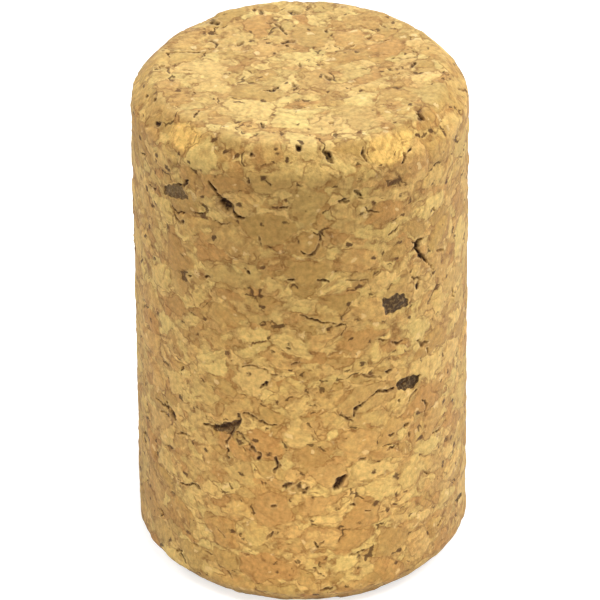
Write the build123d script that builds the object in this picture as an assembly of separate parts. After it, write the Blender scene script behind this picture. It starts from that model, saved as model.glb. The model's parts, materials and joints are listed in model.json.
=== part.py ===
from build123d import *
import os
from dataclasses import dataclass
from math import cos, radians, sin, sqrt

# A straight agglomerated cork stopper: cork granules pressed into one rod, cut to length, ground round
# and chamfered at both ends. It stands on its base, with the origin at the centre of the base and +Z up.
# Everything is in millimetres.

# Body
body_diameter = 24.0
body_length = 38.0

# Chamfers, ground on both ends so that the stopper starts into a bottle neck
top_chamfer_width = 1.6
top_chamfer_height = 1.8
base_chamfer_width = 1.2
base_chamfer_height = 1.4

# Radius that grinding and handling leave on both corners of a chamfer
top_corner_radius = 0.8
base_corner_radius = 0.6

# Pinholes and hollows: gaps where three granules meet. The reach is from the middle to each corner, and
# the waist is how near the sides come to the middle, as a share of the reach.
pinhole_reach = 0.35
pinhole_depth = 0.4
hollow_reach = 0.7
hollow_depth = 0.6
gap_waist = 0.42

# Crevices: curved gaps along the edge of one granule. The bow is how far the gap bends from straight.
crevice_length = 2.0
crevice_width = 0.35
crevice_bow = 0.3
crevice_depth = 0.45

# The nick in the rim of the top face, where a granule has come away. Its floor slopes outwards from
# level, the depth is square to that floor, and the bearing runs from the right towards the back.
nick_length = 3.4
nick_depth = 0.35
nick_slope = 24.0
nick_bearing = 129.0

# The far side and the base get about as many pores to the area as the near side
far_pore_count = 16
base_pore_count = 7

# How far the far side's pores keep from the ends, and the base's from its rim, as shares
far_pore_margin = 0.1
base_pore_reach = 0.85

body_radius = body_diameter / 2
top_face_radius = body_radius - top_chamfer_width
base_face_radius = body_radius - base_chamfer_width
golden_angle = 180 * (3 - sqrt(5))


@dataclass(frozen=True)
class Gap:
    """A gap where three granules meet: a triangle whose sides bow inwards."""

    reach: float
    waist: float
    depth: float

    def cutter(self) -> Solid:
        """The triangle, as deep below the surface as it stands above. Each side faces one corner."""
        third_of_a_turn = 120
        sides = []
        for facing in range(3):
            start = Vector(self.reach, 0).rotate(Axis.Z, (facing + 1) * third_of_a_turn)
            middle = Vector(-self.reach * self.waist, 0).rotate(Axis.Z, facing * third_of_a_turn)
            end = Vector(self.reach, 0).rotate(Axis.Z, (facing + 2) * third_of_a_turn)
            sides.append(ThreePointArc(start, middle, end))
        return extrude(make_face(sides), self.depth, both=True)


@dataclass(frozen=True)
class Crevice:
    """A steep gap along the edge of a granule, bent towards +Y."""

    length: float
    width: float
    bow: float
    depth: float

    def cutter(self) -> Solid:
        """A crescent between two arcs with the same ends, as deep below the surface as it is above."""
        end = self.length / 2
        outer = ThreePointArc((end, 0), (0, self.bow + self.width / 2), (-end, 0))
        inner = ThreePointArc((-end, 0), (0, self.bow - self.width / 2), (end, 0))
        return extrude(make_face([outer, inner]), self.depth, both=True)


pinhole = Gap(pinhole_reach, gap_waist, pinhole_depth)
hollow = Gap(hollow_reach, gap_waist, hollow_depth)
crevice = Crevice(crevice_length, crevice_width, crevice_bow, crevice_depth)


@dataclass(frozen=True)
class WallPore:
    """A pore in the wall. The angle runs from the front towards the right, the height is a share of the
    body's length, and the tilt turns the pore up from level."""

    angle: float
    height_share: float
    tilt: float
    kind: Gap | Crevice

    def cutter(self) -> Solid:
        """The pore's own shape, laid in the wall."""
        angle = radians(self.angle)
        outward = Vector(sin(angle), -cos(angle), 0)
        rightward = Vector(cos(angle), sin(angle), 0)
        seat = outward * body_radius + Vector(0, 0, self.height_share * body_length)
        return Plane(seat, x_dir=rightward, z_dir=outward) * Rot(0, 0, self.tilt) * self.kind.cutter()


@dataclass(frozen=True)
class EndPore:
    """A pore in a flat end. Its place is in shares of that face's radius, to the right and to the back,
    and the turn runs from the right towards the back."""

    right_share: float
    back_share: float
    turn: float
    kind: Gap | Crevice

    def cutter(self, height: float, face_radius: float) -> Solid:
        """The pore's own shape, laid in the end at that height."""
        seat = Pos(self.right_share * face_radius, self.back_share * face_radius, height)
        return seat * Rot(0, 0, self.turn) * self.kind.cutter()


# The near side's pores, from the top down
near_pores = [
    WallPore(angle=-31, height_share=0.91, tilt=-50, kind=crevice),
    WallPore(angle=14, height_share=0.895, tilt=0, kind=pinhole),
    WallPore(angle=-26, height_share=0.88, tilt=-35, kind=hollow),
    WallPore(angle=-20, height_share=0.855, tilt=165, kind=crevice),
    WallPore(angle=-46, height_share=0.81, tilt=0, kind=pinhole),
    WallPore(angle=5, height_share=0.80, tilt=50, kind=crevice),
    WallPore(angle=33, height_share=0.805, tilt=40, kind=pinhole),
    WallPore(angle=43, height_share=0.75, tilt=60, kind=hollow),
    WallPore(angle=46, height_share=0.715, tilt=-50, kind=crevice),
    WallPore(angle=57, height_share=0.715, tilt=-20, kind=pinhole),
    WallPore(angle=8, height_share=0.71, tilt=-135, kind=crevice),
    WallPore(angle=44, height_share=0.67, tilt=40, kind=pinhole),
    WallPore(angle=-40, height_share=0.62, tilt=-15, kind=pinhole),
    WallPore(angle=34, height_share=0.57, tilt=-15, kind=crevice),
    WallPore(angle=47, height_share=0.535, tilt=170, kind=crevice),
    WallPore(angle=22, height_share=0.45, tilt=25, kind=crevice),
    WallPore(angle=-25, height_share=0.40, tilt=30, kind=hollow),
    WallPore(angle=-19, height_share=0.43, tilt=-160, kind=crevice),
    WallPore(angle=-8, height_share=0.325, tilt=80, kind=pinhole),
    WallPore(angle=13, height_share=0.29, tilt=70, kind=hollow),
    WallPore(angle=-5, height_share=0.28, tilt=40, kind=pinhole),
    WallPore(angle=-43, height_share=0.235, tilt=5, kind=crevice),
    WallPore(angle=49, height_share=0.24, tilt=-20, kind=crevice),
    WallPore(angle=-11, height_share=0.165, tilt=30, kind=pinhole),
    WallPore(angle=5, height_share=0.145, tilt=20, kind=pinhole),
    WallPore(angle=19, height_share=0.118, tilt=190, kind=crevice),
]

top_pores = [
    EndPore(right_share=-0.03, back_share=0.82, turn=180, kind=crevice),
    EndPore(right_share=-0.06, back_share=0.40, turn=25, kind=pinhole),
    EndPore(right_share=0.29, back_share=0.31, turn=140, kind=crevice),
    EndPore(right_share=0.60, back_share=0.42, turn=10, kind=crevice),
    EndPore(right_share=0.75, back_share=0.21, turn=185, kind=crevice),
    EndPore(right_share=0.77, back_share=0.07, turn=50, kind=pinhole),
    EndPore(right_share=-0.70, back_share=0.27, turn=0, kind=crevice),
    EndPore(right_share=0.20, back_share=-0.10, turn=-45, kind=pinhole),
    EndPore(right_share=-0.19, back_share=-0.26, turn=215, kind=crevice),
    EndPore(right_share=0.80, back_share=-0.56, turn=-50, kind=hollow),
    EndPore(right_share=0.21, back_share=-0.71, turn=60, kind=pinhole),
]


def far_pores() -> list[WallPore]:
    """Pores for the half of the wall that faces back, spread evenly up the body by the golden angle."""
    kinds = [crevice, pinhole, crevice, hollow, crevice, pinhole]
    half_turn = 180
    right_end = 90
    pores = []
    for i in range(far_pore_count):
        angle = right_end + (i * golden_angle) % half_turn
        rise = (i + 0.5) / far_pore_count
        height_share = far_pore_margin + (1 - 2 * far_pore_margin) * rise
        pores.append(WallPore(angle, height_share, i * golden_angle, kinds[i % len(kinds)]))
    return pores


def base_pores() -> list[EndPore]:
    """Pores for the base, on a sunflower spiral that leaves the centre plain."""
    kinds = [crevice, pinhole, crevice, hollow]
    pores = []
    for i in range(base_pore_count):
        reach = base_pore_reach * sqrt((i + 1) / base_pore_count)
        bearing = i * golden_angle
        place = reach * cos(radians(bearing)), reach * sin(radians(bearing))
        pores.append(EndPore(*place, turn=2 * bearing, kind=kinds[i % len(kinds)]))
    return pores


def rim_nick() -> Solid:
    """The block of cork that has come away from the rim of the top face. Its floor slopes outwards."""
    rim = Rot(0, 0, nick_bearing) * Pos(top_face_radius, 0, body_length) * Rot(0, nick_slope, 0)
    block = Box(nick_length, nick_length, nick_length, align=(Align.CENTER, Align.CENTER, Align.MIN))
    return rim * Pos(0, 0, -nick_depth) * block


def turned_body() -> Solid:
    """The plain ground body: a half section, with its chamfer corners rounded, turned about Z."""
    outline = Polyline(
        (0, 0),
        (base_face_radius, 0),
        (body_radius, base_chamfer_height),
        (body_radius, body_length - top_chamfer_height),
        (top_face_radius, body_length),
        (0, body_length),
        close=True,
    )
    section = make_face(outline)
    middle = body_length / 2
    base_corners = section.vertices().filter_by(lambda v: v.X > 0 and v.Y < middle)
    section = fillet(base_corners, base_corner_radius)
    top_corners = section.vertices().filter_by(lambda v: v.X > 0 and v.Y > middle)
    section = fillet(top_corners, top_corner_radius)
    return revolve(Plane.XZ * section, Axis.Z)


def stopper() -> Solid:
    """The whole stopper: the turned body, less its pores and the nick in its rim."""
    cuts = [pore.cutter() for pore in near_pores + far_pores()]
    cuts += [pore.cutter(body_length, top_face_radius) for pore in top_pores]
    cuts += [pore.cutter(0, base_face_radius) for pore in base_pores()]
    cuts.append(rim_nick())
    return turned_body() - cuts


os.makedirs("parts", exist_ok=True)
body = stopper()
export_step(body, "parts/stopper.step")
print("stopper", round(body.volume, 1), "mm3,", len(body.faces()), "faces")
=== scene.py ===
"""Dresses a cork stopper: a rod of pressed cork granules, ground round and chamfered at both ends.

Lengths are in millimetres up to the moment that a mesh, a lamp or the camera is made, which is in metres.
"""

import json
import logging
import math
from dataclasses import dataclass, replace
from enum import Enum
from functools import partial

import bmesh
import bpy
import numpy as np
from mathutils import Matrix, Vector

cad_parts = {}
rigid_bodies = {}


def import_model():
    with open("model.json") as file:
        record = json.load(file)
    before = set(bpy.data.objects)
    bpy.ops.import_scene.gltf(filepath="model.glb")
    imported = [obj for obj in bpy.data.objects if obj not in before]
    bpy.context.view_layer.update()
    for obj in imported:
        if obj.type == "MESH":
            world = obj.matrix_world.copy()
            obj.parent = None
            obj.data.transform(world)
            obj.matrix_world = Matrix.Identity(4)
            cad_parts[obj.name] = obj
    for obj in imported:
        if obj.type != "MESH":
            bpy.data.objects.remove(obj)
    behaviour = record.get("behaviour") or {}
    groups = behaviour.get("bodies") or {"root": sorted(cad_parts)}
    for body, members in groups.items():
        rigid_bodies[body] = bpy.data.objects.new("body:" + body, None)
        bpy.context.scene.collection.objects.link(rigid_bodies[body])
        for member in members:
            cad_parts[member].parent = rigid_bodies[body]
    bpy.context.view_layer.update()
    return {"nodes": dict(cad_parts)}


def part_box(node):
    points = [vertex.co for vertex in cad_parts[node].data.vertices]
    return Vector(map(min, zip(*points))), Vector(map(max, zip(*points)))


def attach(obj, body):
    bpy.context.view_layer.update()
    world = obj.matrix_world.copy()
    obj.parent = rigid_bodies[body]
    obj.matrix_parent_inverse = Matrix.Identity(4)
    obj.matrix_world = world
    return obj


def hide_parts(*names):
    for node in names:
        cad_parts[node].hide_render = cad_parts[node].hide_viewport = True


Tree = bpy.types.NodeTree
Socket = bpy.types.NodeSocket

MM = 0.001
NODE = "stopper"
BODY = "root"

# Settings that many nodes share
SMOOTH = {"interpolation_type": "SMOOTHSTEP"}
COLOURS = {"data_type": "RGBA"}

log = logging.getLogger("cork_stopper")


def linear(code: str) -> tuple[float, float, float, float]:
    """Turns an sRGB hex colour into the linear values that Blender's sockets take.

    Args:
        code: The colour, such as "#d2a868".

    Returns:
        Red, green, blue and an alpha of one.
    """
    parts = [int(code[i : i + 2], 16) / 255 for i in (1, 3, 5)]
    red, green, blue = [p / 12.92 if p <= 0.04045 else ((p + 0.055) / 1.055) ** 2.4 for p in parts]
    return red, green, blue, 1.0


def add_node(tree: Tree, kind: str, inputs: dict | None = None, **settings: str | bool) -> bpy.types.Node:
    """Adds one node to a tree.

    Args:
        tree: The material's, the world's or the relief's nodes.
        kind: Blender's name for the kind of node.
        inputs: What goes into its sockets, by name or place: another node's output, or a value.
        settings: The node's own properties.

    Returns:
        The new node.
    """
    node = tree.nodes.new(kind)
    for name, value in settings.items():
        setattr(node, name, value)
    for name, value in (inputs or {}).items():
        if isinstance(value, Socket):
            tree.links.new(value, node.inputs[name])
        else:
            node.inputs[name].default_value = value
    return node


@dataclass(frozen=True)
class Ramp:
    """Where a value begins to tell and where it tells in full, and what it stands for at either end."""

    start: float
    full: float
    low: float = 0.0
    high: float = 1.0

    def sockets(self, value: Socket) -> dict[str, Socket | float]:
        """The value and its ramp, by the names of the sockets that take them."""
        ends = {"From Min": self.start, "From Max": self.full, "To Min": self.low, "To Max": self.high}
        return {"Value": value} | ends


@dataclass(frozen=True)
class Mottle:
    """Soft random mottling, by the size of one mottle in millimetres and how many finer layers it has."""

    size: float
    detail: float = 2.0

    def sockets(self, place: Socket) -> dict[str, Socket | float]:
        """The mottling's values at a place in millimetres, by the names of the sockets that take them."""
        return {"Vector": place, "Scale": 1 / self.size, "Detail": self.detail, "Roughness": 0.6}


def distances_along(points: np.ndarray) -> np.ndarray:
    """How far along a path each of its points is."""
    return np.concatenate([[0], np.cumsum(np.linalg.norm(np.diff(points, axis=0), axis=1))])


# The ground shape
@dataclass(frozen=True)
class GroundSection:
    """The stopper's half section, as it is ground: straight, with a rounded chamfer at each end."""

    radius: float
    length: float
    top_chamfer: tuple[float, float] = (1.6, 1.8)
    base_chamfer: tuple[float, float] = (1.2, 1.4)
    top_corner_radius: float = 0.6
    base_corner_radius: float = 0.6
    arc_points: int = 9
    fine_step: float = 0.05

    def rounded(self, before: np.ndarray, corner: np.ndarray, after: np.ndarray, radius: float) -> np.ndarray:
        """Rounds one corner of the section.

        Args:
            before: The corner before this one.
            corner: The corner to round.
            after: The corner after it.
            radius: The radius that grinding leaves.

        Returns:
            Points along the arc, in order.
        """
        back = (before - corner) / np.linalg.norm(before - corner)
        forth = (after - corner) / np.linalg.norm(after - corner)
        half_angle = math.acos(back @ forth) / 2
        middle = (back + forth) / np.linalg.norm(back + forth)
        centre = corner + middle * radius / math.sin(half_angle)
        tangent = radius / math.tan(half_angle)
        first, last = corner + back * tangent - centre, corner + forth * tangent - centre
        spokes = [first * (1 - t) + last * t for t in np.linspace(0, 1, self.arc_points)]
        return np.array([centre + radius * s / np.linalg.norm(s) for s in spokes])

    def outline(self, step: float) -> np.ndarray:
        """Walks up the section from the rim of the base face to the rim of the top face.

        Args:
            step: The distance from one point to the next.

        Returns:
            Rows of radius and height, evenly spaced.
        """
        corners = [
            (0, 0),
            (self.radius - self.base_chamfer[0], 0),
            (self.radius, self.base_chamfer[1]),
            (self.radius, self.length - self.top_chamfer[1]),
            (self.radius - self.top_chamfer[0], self.length),
            (0, self.length),
        ]
        corners = np.array(corners, float)
        radii = [self.base_corner_radius] * 2 + [self.top_corner_radius] * 2
        points = np.concatenate([self.rounded(*corners[i : i + 3], radius) for i, radius in enumerate(radii)])
        walked = distances_along(points)
        even = np.linspace(0, walked[-1], round(walked[-1] / step) + 1)
        return np.stack([np.interp(even, walked, points[:, k]) for k in (0, 1)], axis=1)

    def radius_at(self, height: float) -> float:
        """The section's radius at a height."""
        points = self.outline(self.fine_step)
        return float(np.interp(height, points[:, 1], points[:, 0]))


# The marks
class Side(Enum):
    """Which side of the stopper a mark lies on."""

    WALL = "wall"
    TOP = "top"
    BASE = "base"


class Kind(Enum):
    """What a mark is, and so which of the cork's colours it takes. The value names its attribute.

    Gaps and chips of bark are cut into the surface. Stains and pale granules only colour it.
    """

    GAP = "gap"
    BARK = "bark"
    STAIN = "stain"
    PALE = "pale"


@dataclass(frozen=True)
class Mark:
    """One mark on the stopper, drawn as a line through its points.

    On the wall the points are degrees round from the front towards the right and millimetres of height. On
    an end they are millimetres to the right and to the back. The depth is for a gap or a chip of bark, and
    the tone is how much of the cork's colour the mark hides.
    """

    points: tuple[tuple[float, float], ...]
    width: float = 0.3
    depth: float = 0.15
    tone: float = 0.75
    kind: Kind = Kind.GAP
    side: Side = Side.WALL


@dataclass(frozen=True)
class Patch(Mark):
    """A mark with corners instead of a line: a chip of bark, a stain or a pale granule. The corners run
    clockwise, seen from outside, and none of them turns inwards."""


# The near side: patches first, and then lines from the top down
WALL_MARKS = (
    Patch(
        (
            (24.5, 37.32), (28.2, 37.71), (34.3, 37.76), (40.3, 37.68), (46.5, 37.41), (41.7, 36.78),
            (36.3, 36.22), (32.2, 36.19), (27.8, 36.36), (24.3, 36.78),
        ),
        tone=0.8, kind=Kind.PALE,
    ),
    Patch(
        (
            (-53.9, 36.88), (-54.5, 37.27), (-52.7, 37.63), (-49.6, 37.83), (-45, 37.9), (-40.7, 37.75),
            (-38.7, 37.42), (-39.2, 36.94), (-41.5, 36.56), (-45.1, 36.37), (-49.3, 36.43), (-52.4, 36.62),
        ),
        tone=0.55, kind=Kind.PALE,
    ),
    Patch(((46.9, 25.47), (49.6, 24.72), (47, 24.55), (45, 25.24)), tone=0.45, kind=Kind.STAIN),
    Patch(((28, 25.45), (36.6, 25.4), (39.8, 24.1), (29.3, 24)), depth=0.05, tone=1, kind=Kind.BARK),
    Patch(((67.8, 4.4), (72.5, 4.4), (78.5, 3.7), (71, 3.9)), depth=0.1, tone=0.9, kind=Kind.BARK),
    Patch(
        (
            (-53.8, 32.12), (-52.6, 32.85), (-49.9, 33.36), (-45.7, 33.74), (-42.9, 33.4), (-41.1, 32.9),
            (-44.4, 32.46), (-49.4, 32.26),
        ),
        depth=0.08, tone=0.85, kind=Kind.BARK,
    ),
    Patch(
        (
            (34.1, 18.17), (38.4, 18.13), (40.9, 18.17), (44.9, 17.84), (43.7, 17.24), (40.9, 17.03),
            (35.2, 17.42),
        ),
        depth=0.2, tone=1, kind=Kind.BARK,
    ),
    Patch(
        (
            (-32.1, 14.47), (-27.7, 15.22), (-21.3, 15.77), (-21.7, 15.29), (-24.3, 14.39), (-26.2, 14.37),
        ),
        depth=0, tone=0.45, kind=Kind.BARK,
    ),
    Mark(((-1.4, 37.93), (-0.5, 37.71)), width=0.5, depth=0.35, tone=0.95),
    Mark(((52, 37.8), (54, 37.7)), width=0.5),
    Mark(((-73.1, 37.58), (-71.8, 37.63)), width=0.34, tone=0.95),
    Mark(((24, 37.5), (22.6, 37.1), (23.8, 36.73)), width=0.24, tone=0.8),
    Mark(((9.4, 37.47), (10.7, 37.22), (11.2, 37)), width=0.5, depth=0.35, tone=0.9),
    Mark(((-18.1, 37.35), (-16.8, 37.24)), width=0.34, tone=0.85),
    Mark(((-79.4, 37.27), (-77.7, 37.33)), tone=0.8),
    Mark(((-62.8, 36.87), (-60.7, 36.85)), width=0.42, tone=0.95),
    Mark(((41.6, 36.62), (38, 36.38), (36.2, 35.99)), width=0.24, tone=0.85),
    Mark(((13.4, 36.39), (14.5, 35.42)), width=0.26, kind=Kind.STAIN),
    Mark(((-28.2, 36.33), (-28.8, 35.62)), tone=0.5, kind=Kind.STAIN),
    Mark(((-17.8, 35.9), (-17.2, 35.5)), width=0.25),
    Mark(((-12, 35.9), (-10, 35.5)), width=0.18),
    Mark(((-50, 35.17), (-47, 35.17)), width=0.6, kind=Kind.STAIN),
    Mark(((-32.3, 34.9), (-29.8, 34.34), (-28.6, 34), (-27, 33.57)), depth=0.25, tone=0.85),
    Mark(((-35.8, 34.87), (-35.4, 34.8)), width=0.36, tone=0.7, kind=Kind.STAIN),
    Mark(((18.4, 34.77), (19.5, 34.63), (20.7, 34.29)), width=0.34, tone=0.85),
    Mark(((12.8, 34.16), (16.3, 34.04)), width=0.32, tone=0.8),
    Mark(((-68, 33.9), (-65, 34.1)), width=0.25),
    Mark(((-7, 33.75), (-4.2, 33.9)), width=0.22),
    Mark(((-45.7, 33.66), (-43.3, 33.69), (-41.1, 34.38)), tone=0.85),
    Mark(((-27, 33.52), (-25.5, 33.44), (-24.2, 33.35)), width=1.15, depth=0.4, tone=1),
    Mark(((22, 33.4), (23.5, 32.9), (27, 32.65)), width=0.18),
    Mark(((-24.1, 33.28), (-23, 32.96), (-21.5, 32.68), (-19.5, 32.59)), width=0.34, depth=0.25, tone=0.9),
    Mark(
        ((-61.4, 32.69), (-60.1, 32.38), (-57.3, 32.1), (-53.9, 32.1)),
        width=0.26, tone=0.5, kind=Kind.STAIN,
    ),
    Mark(((-30, 31.85), (-27, 31.75), (-24, 31.95)), width=0.16),
    Mark(((-46.5, 31.77), (-43.2, 31.72), (-36.5, 31.97)), width=0.7, tone=0.3, kind=Kind.STAIN),
    Mark(((4.2, 31.75), (6.4, 31.5), (6, 30.8), (4.6, 30.2), (2.2, 29.95), (0, 30.3)), width=0.24),
    Mark(((-14.2, 31.3), (-13.6, 30.7)), width=0.22),
    Mark(((50.5, 31.1), (52, 30.8))),
    Mark(((-47.5, 30.9), (-45.5, 30.65), (-43.3, 30.9)), width=0.4),
    Mark(((30.8, 30.55), (33, 30.69), (35.2, 31.02)), width=0.24),
    Mark(((45.4, 29.04), (43.7, 28.99), (42.7, 28.5)), width=0.62, depth=0.3, tone=1),
    Mark(((42.6, 28.58), (44.4, 27.85), (47.9, 26.99)), width=0.34, depth=0.3, tone=0.95),
    Mark(((-19.4, 28.5), (-17.6, 28.1)), width=0.28),
    Mark(((40, 28.44), (42.1, 28.68)), width=0.26, tone=0.85),
    Mark(((-4.5, 27.9), (-2.4, 27.95)), width=0.28),
    Mark(((5.5, 27.9), (9.3, 27.73))),
    Mark(((12.3, 27.65), (17.3, 27.52), (22.9, 27.33), (24.3, 26.43)), width=0.16, depth=0.12, tone=0.45),
    Mark(((53.5, 27.3), (57.5, 26.95))),
    Mark(((47.6, 27.04), (50.6, 26.36), (51.5, 25.32)), width=0.18, tone=0.5),
    Mark(((-34.5, 26.9), (-32.5, 27.05)), width=0.26),
    Mark(((5.5, 26.56), (7.6, 26.3), (9.7, 26.07)), width=0.22, kind=Kind.STAIN),
    Mark(((-42, 26.5), (-40.6, 26.55)), width=0.24),
    Mark(((41, 26.3), (43.5, 25.99), (45.1, 25.72)), width=0.26, tone=0.8),
    Mark(((44.7, 25.76), (43.3, 25.56), (43.3, 25.14)), width=0.4, tone=0.9),
    Mark(((-68, 25.2), (-64.8, 24.8)), width=0.6, kind=Kind.STAIN),
    Mark(((-1.3, 25.06), (3.2, 24.71), (7.9, 24.36), (14.8, 23.97)), width=0.2),
    Mark(((-41, 23.5), (-39.3, 23.4)), width=0.24),
    Mark(((64.1, 23.06), (65.3, 21.71)), width=0.2),
    Mark(((-5, 22.35), (-4, 22.25)), width=0.26),
    Mark(((27, 22.15), (29.5, 21.95)), width=0.22),
    Mark(((32.5, 21.6), (34.6, 21.25), (36.6, 21.4)), width=0.28),
    Mark(((-25.6, 21.39), (-25.3, 20.86)), width=0.5, tone=0.7, kind=Kind.STAIN),
    Mark(((-3.5, 20.95), (-0.6, 21.1)), width=0.18),
    Mark(((43.4, 20.8), (45.6, 20.3), (48.6, 20.25))),
    Mark(
        ((-21.9, 20.21), (-17.4, 20.58), (-13.1, 20.38), (-10.3, 20.02), (-4.6, 19.84)),
        width=0.18, tone=0.5,
    ),
    Mark(((47.8, 19.8), (48.6, 19.3))),
    Mark(((21, 19.5), (24.1, 19.18), (28, 18.9)), width=0.26, depth=0.12, tone=0.6),
    Mark(((29.9, 19.29), (32.1, 19.26)), width=0.36, tone=0.8),
    Mark(((-14.2, 18.78), (-12.9, 19.03), (-11.7, 19.29)), width=0.34, tone=0.85),
    Mark(((-44.8, 18.6), (-46, 18.2)), width=0.28),
    Mark(((27.9, 17.76), (26.2, 17.79)), width=0.42, depth=0.2, tone=0.9),
    Mark(((26, 17.73), (23.6, 17.43), (21.2, 17.13)), width=0.2, depth=0.12, tone=0.65),
    Mark(((33.1, 17.69), (30, 17.63), (27, 17.88), (26, 17.73)), width=0.34, tone=0.85),
    Mark(((21.2, 17.13), (18.7, 16.82), (18, 16.2)), width=0.34, tone=0.85),
    Mark(((13.5, 16.69), (15.7, 16.07), (17.6, 15.79)), width=0.24, depth=0.12, tone=0.6),
    Mark(((35, 16.56), (35.5, 16.4)), width=0.34, tone=0.8),
    Mark(
        (
            (-22.1, 16.29), (-19.8, 16.45), (-17.6, 16.44), (-14.7, 15.98), (-11.1, 15.74), (-8.6, 15.77),
        ),
        width=0.22,
    ),
    Mark(((-22.1, 16.29), (-22.3, 15.85), (-22.4, 15.4)), width=0.36, tone=0.9),
    Mark(((-29.9, 14.75), (-26.1, 15.1), (-22.7, 15.49)), width=0.5, tone=0.9),
    Mark(((-36.1, 14.53), (-33.7, 14.56), (-30.8, 14.68)), width=0.28, tone=0.8),
    Mark(((39.7, 16.07), (41.1, 16.5), (43.2, 16.69)), tone=0.85),
    Mark(((45.8, 15.63), (48.1, 14.96), (47.4, 14.48)), width=0.26, depth=0.12, tone=0.7),
    Mark(((-23.9, 15.01), (-25.1, 14.44), (-26.8, 13.68), (-26.2, 13.1), (-26.7, 12.56)), width=0.24),
    Mark(((5, 14.9), (7.4, 14.9)), width=0.2, kind=Kind.STAIN),
    Mark(((-22.3, 14.62), (-20.7, 14.34), (-17.8, 13.77), (-16.9, 13.5)), width=0.22),
    Mark(((-54, 14.29), (-51.4, 14.18), (-49.9, 13.69)), width=0.62, tone=0.85),
    Mark(((-61.4, 14.25), (-55.7, 14.35), (-53.4, 14.14)), width=0.22),
    Mark(((37.8, 14.06), (39.2, 14.22)), width=0.34, tone=0.8),
    Mark(((31.2, 13.85), (33.2, 13.85))),
    Mark(((-17.2, 13.57), (-16.7, 13.47)), width=0.4, tone=0.9),
    Mark(((-58.5, 13.41), (-54.6, 13.8)), width=0.2),
    Mark(((39.6, 13.4), (39.9, 13))),
    Mark(((-15.1, 13.31), (-14.5, 13.12), (-15.3, 12.71)), width=0.36, tone=0.85),
    Mark(((65.5, 13.1), (67.5, 12.9)), kind=Kind.STAIN),
    Mark(((-9.2, 13.05), (-8.4, 12.45), (-9.5, 11.73)), width=0.34, tone=0.85),
    Mark(((30.4, 12.6), (33.6, 12.75)), width=0.26),
    Mark(((-48.9, 12.6), (-45, 12.89), (-41.7, 12.92)), width=0.22),
    Mark(((-27.3, 12.48), (-26.3, 12.32)), width=0.42, tone=0.8),
    Mark(((19.8, 12.4), (22.3, 12.45))),
    Mark(((51.8, 12.15), (55.5, 12))),
    Mark(((-0.7, 10.94), (-1.1, 10.41), (0.6, 10.1), (2.3, 10.55)), width=0.34),
    Mark(((-6.6, 10.6), (-4, 10.8)), width=0.42),
    Mark(((11.2, 10.3), (13, 10.9), (14.8, 11.2)), width=0.7, depth=0.35, tone=0.85),
    Mark(((-72.9, 10), (-73.2, 9.13), (-72, 8.5)), tone=0.5, kind=Kind.STAIN),
    Mark(((47.2, 9.3), (49.2, 8.95)), width=0.2),
    Mark(((-41.4, 9.05), (-38.3, 8.83)), width=0.34, tone=0.8),
    Mark(((-10.9, 8.78), (-9.4, 8.9)), width=0.34, tone=0.7),
    Mark(((16.6, 8.7), (18.2, 8.6)), width=0.26),
    Mark(((-49, 8.45), (-44.5, 8.6), (-40.6, 9.05), (-38, 8.75)), width=0.22),
    Mark(((-18, 8), (-16.8, 8.05)), width=0.22),
    Mark(((21.8, 8), (24, 7.9)), width=0.22),
    Mark(((26.2, 6.4), (27.6, 6.35)), width=0.2),
    Mark(((-31.3, 6.14), (-27.7, 5.4)), width=0.2, depth=0.1, tone=0.5),
    Mark(((-12.6, 6), (-10.4, 6.6))),
    Mark(((3.9, 5.9), (5, 5.4), (7.2, 5.95)), width=0.26),
    Mark(((-59.5, 4.9), (-57.2, 4.6)), width=0.4, kind=Kind.STAIN),
    Mark(((-14.6, 4.5), (-13.2, 4.1)), kind=Kind.STAIN),
    Mark(((-22, 4.4), (-19, 4.35)), width=0.22),
    Mark(((16.2, 4.35), (19, 4.4), (21.6, 4.6)), width=0.26),
    Mark(((54, 3.9), (58.5, 4.2)), width=0.26),
    Mark(((-41.6, 3.8), (-39.4, 3.75)), width=0.26),
    Mark(((3.4, 3.6), (5.2, 3.2), (7.4, 2.8)), width=0.24),
    Mark(((-36.2, 3.6), (-33.4, 3.55)), width=0.26),
    Mark(((-16, 3.42), (-17.7, 2.77), (-16.1, 2.04)), width=0.24, tone=0.5, kind=Kind.STAIN),
    Mark(((-29.7, 2.7), (-27.4, 2.49), (-25.3, 2)), width=0.22, depth=0.1, tone=0.55),
    Mark(((-50.5, 2.3), (-47.5, 2.6))),
    Mark(((6, 1.6), (10, 1.75)), width=0.34),
)

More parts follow.
